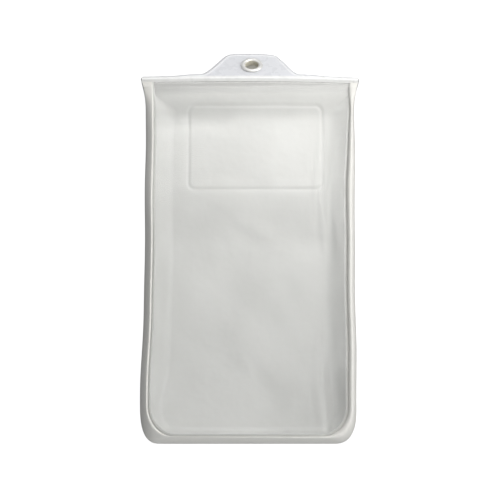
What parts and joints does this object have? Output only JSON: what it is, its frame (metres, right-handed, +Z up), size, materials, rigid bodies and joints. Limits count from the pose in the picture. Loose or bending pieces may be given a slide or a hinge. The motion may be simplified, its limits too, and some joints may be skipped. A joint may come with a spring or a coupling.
{
  "type": "waterproof phone case",
  "caption": "Soft waterproof phone case with a clear window, a padded white rim, a folded neck closed by press zips, and a hang tab with a metal eyelet.",
  "frame": {"origin": "on the surface that the case lies on, under the middle of its whole outline", "axes": "+Z up through the clear window, +Y from the lower edge towards the hang tab, +X to the right when looking at the window"},
  "size_m": [0.0964, 0.1748, 0.015],
  "materials": {
    "white_vinyl": "soft opaque white sheet, satin",
    "padded_vinyl": "soft glossy white sheet over foam",
    "clear_vinyl": "clear soft sheet, glossy",
    "milky_vinyl": "milky two-ply sheet, welded",
    "zip_vinyl": "extruded soft plastic",
    "hook_tape": "nylon hook tape",
    "loop_tape": "nylon loop tape",
    "nickel": "nickel-plated brass"
  },
  "bodies": {
    "root": {"rear_panel": "white_vinyl", "front_window": "clear_vinyl", "side_bolster": "padded_vinyl", "zip_inner_rib": "zip_vinyl", "zip_inner_channel": "zip_vinyl", "zip_outer_rib": "zip_vinyl", "zip_outer_channel": "zip_vinyl", "hook_patch": "hook_tape", "loop_patch": "loop_tape", "hang_strip": "milky_vinyl", "eyelet_barrel": "nickel", "eyelet_washer": "nickel"}
  },
  "joints": []
}
